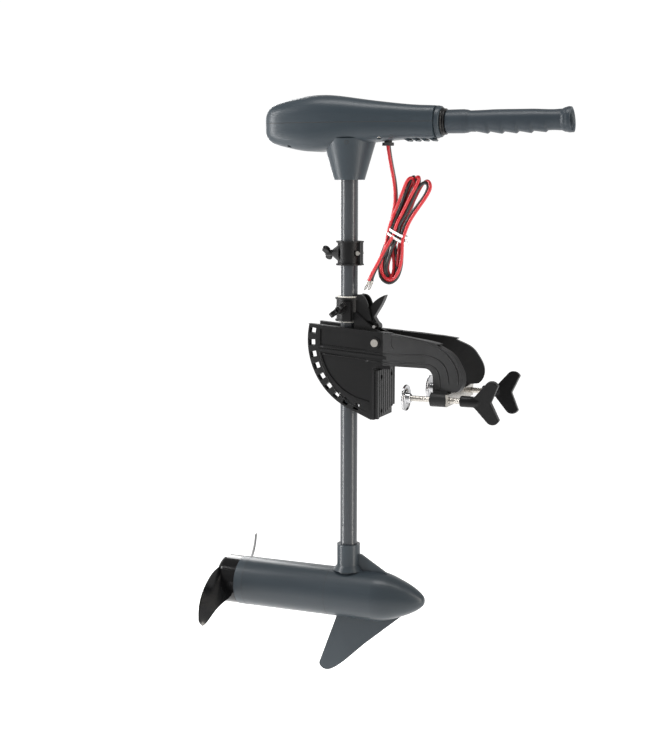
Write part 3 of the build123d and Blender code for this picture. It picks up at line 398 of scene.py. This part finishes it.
def make_cords():
    pieces = []
    for conductor, (colour, nodes) in enumerate((
            ("red", ("red_cable", "red_tail", "cable_hank")), ("black", ("black_cable", "black_tail")))):
        slot = f"{colour}_pvc"
        wire = smooth_curve(f"{colour}_conductor", wire_route(conductor), WIRE_D / 2000, FINISHES[slot])
        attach(wire, "shaft")
        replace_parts(wire, *nodes)
        pieces.append(wire)
    return pieces


# ------------------------------------------------------------------ shaped pieces

def ring_on(name, centre, axis, radius, thick, material, body):
    """A thin bead round a turned surface, such as the line where two castings meet."""
    axis = Vector(axis).normalized()
    side = axis.orthogonal().normalized()
    other = axis.cross(side)
    shape = bmesh.new()
    rings = []
    for i in range(96):
        a = tau * i / 96
        out = side * cos(a) + other * sin(a)
        ring = []
        for j in range(8):
            b = tau * j / 8
            ring.append(place(*(Vector(centre) + out * (radius + thick * cos(b)) + axis * thick * sin(b))))
        rings.append(ring)
    swept_rings(shape, rings, closed=True)
    return mesh_piece(name, shape, material, body)


def outline_at(node, height):
    """The outer outline of a CAD node cut level at a height, in the model's frame, in metres."""
    shape = bmesh.new()
    shape.from_mesh(bpy.data.objects[node].data)
    cut = bmesh.ops.bisect_plane(shape, geom=shape.verts[:] + shape.edges[:] + shape.faces[:],
                                 plane_co=(0, 0, height), plane_no=(0, 0, 1))
    edges = [e for e in cut["geom_cut"] if isinstance(e, bmesh.types.BMEdge)]
    links = {}
    where = {}
    for edge in edges:
        keys = []
        for vert in edge.verts:
            key = tuple(round(c, 6) for c in vert.co)
            where[key] = vert.co.copy()
            keys.append(key)
        if keys[0] != keys[1]:
            links.setdefault(keys[0], set()).add(keys[1])
            links.setdefault(keys[1], set()).add(keys[0])
    shape.free()
    start = min(where, key=lambda k: k[0])
    line, seen, here = [start], {start}, start
    while True:
        onward = [k for k in links[here] if k not in seen]
        if not onward:
            break
        here = min(onward, key=lambda k: k[0])
        seen.add(here)
        line.append(here)
    return [Vector(k) for k in line]


def seam_line(name, points, radius, material, body):
    data = bpy.data.curves.new(name, "CURVE")
    data.dimensions = "3D"
    data.bevel_depth = radius
    data.bevel_resolution = 2
    line = data.splines.new("POLY")
    line.points.add(len(points) - 1)
    for point, at in zip(line.points, points):
        point.co = (*at, 1)
    line.use_cyclic_u = True
    piece = bpy.data.objects.new(name, data)
    piece.data.materials.append(FINISHES[material])
    bpy.context.scene.collection.objects.link(piece)
    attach(piece, body)
    return piece


def rounded(name, node, body, material, voxel, passes):
    """A CAD node's shape with every edge softened, as moulded or cast."""
    source = bpy.data.objects[node]
    piece = bpy.data.objects.new(name, source.data.copy())
    piece.data.materials.clear()
    piece.data.materials.append(FINISHES[material])
    bpy.context.scene.collection.objects.link(piece)
    remesh = piece.modifiers.new("remesh", "REMESH")
    remesh.mode = "VOXEL"
    remesh.voxel_size = voxel
    remesh.use_smooth_shade = True
    smooth = piece.modifiers.new("smooth", "SMOOTH")
    smooth.factor = 0.5
    smooth.iterations = passes
    bpy.context.view_layer.update()
    graph = bpy.context.evaluated_depsgraph_get()
    mesh = bpy.data.meshes.new_from_object(piece.evaluated_get(graph))
    piece.modifiers.clear()
    piece.data = mesh
    for face in mesh.polygons:
        face.use_smooth = True
    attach(piece, body)
    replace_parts(piece, node)
    return piece


def clamp_thread(side):
    """The clamp screw's rolled thread, from its foot to its handle."""
    name = f"clamp_thread_{side}"
    y = -SCREW_Y if side == "starboard" else SCREW_Y
    low, high = 124.3, 230.3
    pitch, crest, root, steps = 2.5, 5.0, 4.15, 16
    shape = bmesh.new()
    rows = []
    count = int((high - low) / pitch * 4)
    for i in range(count + 1):
        ring = []
        for j in range(steps):
            a = tau * j / steps
            x = low + (high - low) * i / count
            phase = ((x - low) / pitch - j / steps) % 1.0
            r = root + (crest - root) * max(0.0, 1 - abs(phase - 0.5) * 2.6)
            if i in (0, count):
                r = root
            ring.append(place(x, y + r * cos(a), SCREW_Z + r * sin(a)))
        rows.append(ring)
    swept_rings(shape, rows)
    piece = mesh_piece(name, shape, "zinc", f"clamp_screw_{side}")
    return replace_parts(piece, f"clamp_screw_{side}")


def swivel_foot(side):
    """The dished steel foot, with its rolled rim and the collar that holds the screw's ball."""
    y = -SCREW_Y if side == "starboard" else SCREW_Y
    profile = ((121, 0.01), (121, 20.6), (121.4, 21.3), (122.2, 21.5), (123.4, 21.4), (124.2, 20.9),
               (124.3, 20.0), (123.6, 19.2), (122.8, 17.0), (122.8, 9.5), (123.4, 8.6), (125, 8.2),
               (130.2, 7.9), (131.2, 7.2), (131.6, 5.4))
    shape = bmesh.new()
    lathe(shape, (0, y, SCREW_Z), (1, 0, 0), profile, 64)
    piece = mesh_piece(f"swivel_foot_{side}", shape, "chrome", f"clamp_foot_{side}")
    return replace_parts(piece, f"clamp_pad_{side}")


def wire_tie():
    """The white twist tie: two slanted wraps round the hank and a twisted end."""
    pieces = []
    centre = Vector((TIE_AT[0], 2.0, TIE_AT[1]))
    across = Vector((ACROSS[0], 0, ACROSS[1])).normalized()
    along = Vector((-across.z, 0, across.x))
    for number, (shift, slant) in enumerate(((4.6, -0.10), (-3.6, -0.16))):
        shape = bmesh.new()
        rings = []
        for i in range(64):
            a = tau * i / 64
            out = across * cos(a) * 18.2 + Vector((0, 1, 0)) * sin(a) * 11.2
            normal = (across * cos(a) / 18.2 + Vector((0, 1, 0)) * sin(a) / 11.2).normalized()
            spot = centre + out + along * (shift + out.dot(across) * slant)
            ring = []
            for j in range(10):
                b = tau * j / 10
                ring.append(place(*(spot + along * 2.1 * cos(b) + normal * 0.55 * sin(b))))
            rings.append(ring)
        swept_rings(shape, rings, closed=True)
        pieces.append(mesh_piece(f"tie_wrap_{number + 1}", shape, "white_tie", "shaft"))
    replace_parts(pieces[0], "cable_tie")
    end = centre + across * 17.5 + along * 0.5
    points = [end + across * (0.5 + 1.1 * i) + along * (1.3 * sin(2.1 * i) - 0.9 * i)
              + Vector((0, 1.3 * cos(2.1 * i), 0)) for i in range(9)]
    tail = smooth_curve("tie_twist", [place(*p) for p in points], 0.0009, FINISHES["white_tie"])
    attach(tail, "shaft")
    return pieces + [tail]


def screw_hole_shade_discs():
    """Small dished near-black discs in the sunk screw holes along the starboard and port sides of the head,
    as painted shade.
    """
    for side in (-1, 1):
        for number, (x, z) in enumerate(((11.0, 757.5), (82.0, 766.0))):
            spot = bpy.context.scene.ray_cast(
                bpy.context.evaluated_depsgraph_get(), place(x, side * 200, z), (0, -side, 0))
            if not spot[0]:
                continue
            at, normal = spot[1] * 1000 + ORIGIN, spot[2]
            shape = bmesh.new()
            profile = ((0, 3.6), (1.1, 3.6), (1.3, 3.2), (0.9, 2.6), (0.5, 0.02))
            lathe(shape, at - normal * 1.0, normal, profile, 24)
            where = "starboard" if side < 0 else "port"
            # The dished shape is the screw hole's recess. Its near-black colour is painted shade.
            mesh_piece(f"head_screw_hole_shade_{where}_{number + 1}", shape, "rubber", "shaft")


def grip_radius(x, a):
    """The grip's radius at a distance and an angle from the top."""
    stops = ((166.4, 17.4), (168, 18.6), (194, 18.8), (199, 18.2), (206, 16.6), (216, 16.8), (250, 17.6),
             (300, 17.3), (338, 15.9), (350, 16.4), (357, 18.8), (362, 19.9), (367, 19.6))
    r = stops[-1][1]
    for (x0, r0), (x1, r1) in zip(stops, stops[1:]):
        if x <= x1:
            t = (x - x0) / (x1 - x0)
            t = t * t * (3 - 2 * t)
            r = r0 + (r1 - r0) * t
            break
    under = max(0.0, -cos(a) - 0.15) / 0.85
    if 214 < x < 330:
        phase = ((x - 214) / 23.2) % 1.0
        tooth = phase / 0.82 if phase < 0.82 else (1 - phase) / 0.18
        r += (3.4 * tooth - 0.6) * under ** 0.7
    return r


def twist_grip():
    shape = bmesh.new()
    steps = 64
    rows = []
    rows_along = 240
    for i in range(rows_along + 1):
        x = GRIP_START_X + GRIP_LENGTH * i / rows_along
        ring = []
        for j in range(steps):
            a = tau * j / steps
            r = grip_radius(x, a)
            lean = -0.10 * r * cos(a) if x > GRIP_FLARE_X else 0.0
            ring.append(place(x + lean * (x - GRIP_FLARE_X) / 12, r * sin(a), HANDLE_Z + r * cos(a)))
        rows.append(ring)
    inner = ((366.2, 16.6), (360, 15.2), (350, 14.6), (348, 5.0))
    for x, r in inner:
        ring = []
        for j in range(steps):
            a = tau * j / steps
            ring.append(place(x, r * sin(a), HANDLE_Z + r * cos(a)))
        rows.append(ring)
    swept_rings(shape, rows)
    piece = mesh_piece("grip_moulding", shape, "grip_plastic", "grip")
    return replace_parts(piece, "twist_grip")


def bezel_rings():
    """The grey end ring of the head and the black boot inside it."""
    for name, profile, material in (
            ("handle_end_ring", ((150.1, 12.6), (150.1, 25.2), (152, 25.6), (157.6, 24.4), (158.6, 23.2),
                                 (158.8, 12.6)), "grey_plastic"),
            ("handle_boot", ((158.9, 12.6), (158.9, 21.6), (160, 22.0), (161.4, 21.4), (161.9, 19.4),
                             (163.2, 19.4), (163.7, 20.6), (165.2, 20.6), (165.9, 19.6), (166, 12.6)),
             "knob_plastic")):
        shape = bmesh.new()
        lathe(shape, (0, 0, HANDLE_Z), (1, 0, 0), profile, 96)
        piece = mesh_piece(name, shape, material, "shaft")
        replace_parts(piece, "handle_bezel")


def arm_point(x, z, out, side):
    """A point on a bracket side's outer face: distance along it, height, and height off it."""
    y = -SIDE_FACE_Y - out
    if x > ARM_BEND_X:
        run = x - ARM_BEND_X
        x = ARM_BEND_X + run * cos(ARM_SPLAY) - out * sin(ARM_SPLAY)
        y = -SIDE_FACE_Y - run * sin(ARM_SPLAY) - out * cos(ARM_SPLAY)
    return place(x, y if side == "starboard" else -y, z)


def moulded_rib(name, points, width, height, side):
    """A low half-round rib along a bracket side's outer face."""
    guide = bpy.data.curves.new(name, "CURVE")
    guide.dimensions = "3D"
    guide.resolution_u = 8
    line = guide.splines.new("NURBS")
    line.points.add(len(points) - 1)
    for point, (x, z) in zip(line.points, points):
        point.co = (x, 0, z, 1)
    line.order_u = 3
    line.use_endpoint_u = True
    holder = bpy.data.objects.new(name + "_guide", guide)
    mesh = bpy.data.meshes.new_from_object(holder)
    track = [v.co.copy() for v in mesh.vertices]
    bpy.data.objects.remove(holder)
    shape = bmesh.new()
    rows = []
    for i, at in enumerate(track):
        before, after = track[max(0, i - 1)], track[min(len(track) - 1, i + 1)]
        run = (after - before).normalized()
        over = Vector((-run.z, 0, run.x))
        taper = min(1.0, 0.15 + min(i, len(track) - 1 - i) / 3)
        ring = []
        for j in range(9):
            b = pi * j / 8
            spot = at + over * cos(b) * width / 2
            ring.append(arm_point(spot.x, spot.z, sin(b) * height * taper - 0.3, side))
        rows.append(ring)
    swept_rings(shape, rows)
    return mesh_piece(f"{name}_{side}", shape, "black_nylon", "bracket")


RIBS = {
    # each: its (x, z) points, its width and its height
    "arm_rib_upper": (((-42, 424), (0, 421), (60, 417), (100, 417), (140, 420), (160, 420), (176, 415),
                       (189, 405), (195, 388), (196, 372)), 2.6, 1.5),
    "arm_rib_lower": (((40, 404), (70, 402.5), (110, 405), (145, 407), (165, 404.5), (176, 396), (180, 380),
                       (180, 366)), 2.4, 1.3),
    "arm_bead": (((76, 449.5), (115, 446.5), (155, 441.5), (186, 430), (205, 411), (214, 392), (212, 372)),
                 2.8, 1.4),
    "arm_recess_edge": (((88, 444), (86, 438), (87, 428), (94, 424.5)), 2.2, 1.1),
    "quadrant_bead": (((-41, 417), (-38, 398), (-29, 376), (-14, 354), (6, 336), (26, 325), (44, 318)),
                      2.2, 1.1),
    "quadrant_line": (((-36, 412), (0, 409.5), (30, 407.5), (46, 405)), 2.0, 1.0),
}


def bracket_details():
    for side in ("starboard", "port"):
        for name, (points, width, height) in RIBS.items():
            moulded_rib(name, points, width, height, side)


def build_pieces():
    for side in ("starboard", "port"):
        rounded(f"wing_handle_{side}", f"clamp_wing_{side}", f"clamp_screw_{side}", "knob_plastic",
                0.0008, 10)
        clamp_thread(side)
        swivel_foot(side)
    rounded("collar_thumb_knob", "collar_knob", "collar_knob", "knob_plastic", 0.0006, 6)
    rounded("steering_thumb_knob", "steering_knob", "steering_knob", "knob_plastic", 0.0006, 6)
    rounded("tilt_lever", "release_lever", "release_lever", "knob_plastic", 0.0006, 6)
    twist_grip()
    bezel_rings()
    bracket_details()
    for name, x in (("pod_seam_front", NOSE_SEAM_X), ("pod_seam_rear", CAP_SEAM_X)):
        ring_on(name, (x, 0, 0), (1, 0, 0), POD_SEAM_R, 0.32, "rubber", "shaft")
    seam = outline_at("head_upper_cover", (HEAD_JOIN_Z + 0.4 - ORIGIN.z) / 1000)
    seam_line("head_seam", seam, 0.0004, "rubber", "shaft")
    screw_hole_shade_discs()


make_camera()
wires = make_cords()
tie = wire_tie()
make_floor()
make_light()
finish_nodes()
build_pieces()
